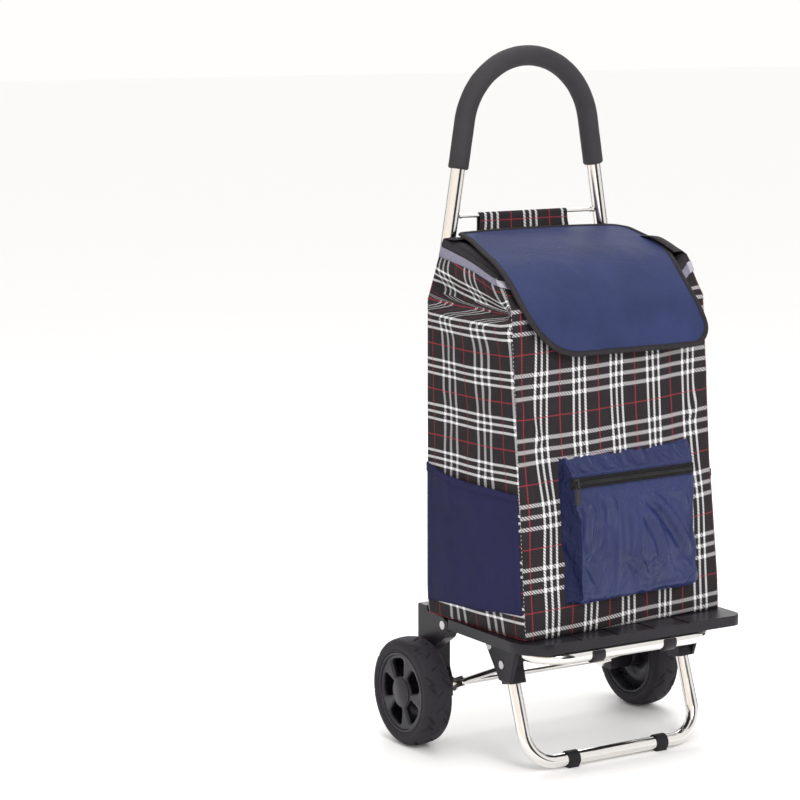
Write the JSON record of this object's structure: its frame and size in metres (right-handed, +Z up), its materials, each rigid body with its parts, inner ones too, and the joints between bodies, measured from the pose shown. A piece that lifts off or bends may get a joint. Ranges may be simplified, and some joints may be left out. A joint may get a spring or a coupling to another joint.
{
  "type": "shopping trolley",
  "caption": "Folding two-wheel shopping trolley: soft checked bag with flap lid, zip pocket and side pockets on a steel tube frame with folding platform and stand.",
  "frame": {"origin": "on the floor under the middle of the object's bounding box", "axes": "+Z up, +X to the right as seen from the front, front towards -Y"},
  "size_m": [0.464, 0.35, 1.02],
  "materials": {
    "polished_steel": "bright polished stainless tube",
    "zinc_steel": "plain zinc-plated flat bar and rivets",
    "grip_foam": "matt charcoal foam with a fine grain",
    "black_plastic": "satin black moulded plastic",
    "foot_rubber": "matt black rubber",
    "tyre_foam": "matt charcoal solid foam with tread grooves",
    "rim_plastic": "satin charcoal moulded plastic",
    "bush_nylon": "natural nylon",
    "plaid_cloth": "black twill with white and red checks, black lining",
    "lid_cloth": "navy canvas",
    "pocket_cloth": "navy canvas",
    "side_pocket_cloth": "dark navy canvas",
    "black_binding": "black woven binding tape",
    "grey_band": "grey reflective tape",
    "zip_tape": "black woven zipper tape with coil teeth",
    "zip_metal": "black enamelled zinc",
    "base_board": "stiff board covered with black lining"
  },
  "bodies": {
    "frame": {"handle_tube": "polished_steel", "handle_grip": "grip_foam", "hanging_bar": "polished_steel", "rear_bracket_left": "black_plastic", "rear_bracket_right": "black_plastic", "axle": "polished_steel", "axle_clips": "zinc_steel", "axle_washers": "zinc_steel", "hinge_pins": "zinc_steel", "bracket_rivets": "zinc_steel", "bag_body": "plaid_cloth", "front_pocket": "pocket_cloth", "zipper_tape": "zip_tape", "side_pocket_left": "side_pocket_cloth", "side_pocket_right": "side_pocket_cloth", "rim_hem": "black_binding", "rim_band": "grey_band", "hanging_strap": "plaid_cloth"},
    "wheel_left": {"tyre_left": "tyre_foam", "rim_left": "rim_plastic", "hub_bush_left": "bush_nylon", "hub_cap_left": "rim_plastic"},
    "wheel_right": {"tyre_right": "tyre_foam", "rim_right": "rim_plastic", "hub_bush_right": "bush_nylon", "hub_cap_right": "rim_plastic"},
    "platform": {"platform_board": "black_plastic", "platform_tube": "polished_steel", "platform_clips": "black_plastic", "bag_base_board": "base_board"},
    "stand": {"stand_tube": "polished_steel", "foot_left": "foot_rubber", "foot_right": "foot_rubber", "knuckle_left": "black_plastic", "knuckle_right": "black_plastic", "stand_pins": "zinc_steel", "leg_rivets": "zinc_steel"},
    "link_left": {"link_left": "polished_steel", "link_stud_left": "zinc_steel"},
    "link_right": {"link_right": "polished_steel", "link_stud_right": "zinc_steel"},
    "lid": {"lid_panel": "lid_cloth", "lid_binding": "black_binding"},
    "zip_slider": {"zip_slider": "zip_metal"},
    "zip_pull": {"zip_pull": "zip_metal"}
  },
  "joints": [
    {"name": "wheel_left_spin", "type": "hinge", "parent": "frame", "child": "wheel_left", "pos_m": [-0.207, 0.095, 0.08], "axis": [1, 0, 0], "continuous": true},
    {"name": "wheel_right_spin", "type": "hinge", "parent": "frame", "child": "wheel_right", "pos_m": [0.207, 0.095, 0.08], "axis": [1, 0, 0], "continuous": true},
    {"name": "platform_fold", "type": "hinge", "parent": "frame", "child": "platform", "pos_m": [0, 0.0515, 0.184], "axis": [-1, 0, 0], "range_deg": [0, 90], "deforming": ["bag_body", "front_pocket", "zipper_tape", "zip_slider", "zip_pull", "side_pocket_left", "side_pocket_right", "rim_hem", "rim_band", "lid_panel", "lid_binding"]},
    {"name": "stand_fold", "type": "hinge", "parent": "platform", "child": "stand", "pos_m": [0, -0.048, 0.173], "axis": [1, 0, 0], "range_deg": [0, 110]},
    {"name": "link_left_turn", "type": "hinge", "parent": "frame", "child": "link_left", "pos_m": [-0.1345, 0.095, 0.08], "axis": [-1, 0, 0], "range_deg": [0, 45]},
    {"name": "link_right_turn", "type": "hinge", "parent": "frame", "child": "link_right", "pos_m": [0.1345, 0.095, 0.08], "axis": [-1, 0, 0], "range_deg": [0, 45]},
    {"name": "lid_open", "type": "hinge", "parent": "frame", "child": "lid", "pos_m": [0.022, 0.091, 0.7485], "axis": [1, 0, 0], "range_deg": [-90, 0]},
    {"name": "zip_slide", "type": "slide", "parent": "frame", "child": "zip_slider", "axis": [0.9981, 0.0612, 0], "range_m": [0, 0.21]},
    {"name": "zip_pull_swing", "type": "hinge", "parent": "zip_slider", "child": "zip_pull", "pos_m": [-0.08813, -0.15138, 0.41515], "axis": [-0.9981, -0.0612, 0], "range_deg": [0, 100]}
  ],
  "couplings": [
    {"joint": "stand_fold", "follows": "platform_fold", "ratio": 1.2209},
    {"joint": "link_left_turn", "follows": "platform_fold", "ratio": 0.48728},
    {"joint": "link_right_turn", "follows": "platform_fold", "ratio": 0.48728}
  ]
}
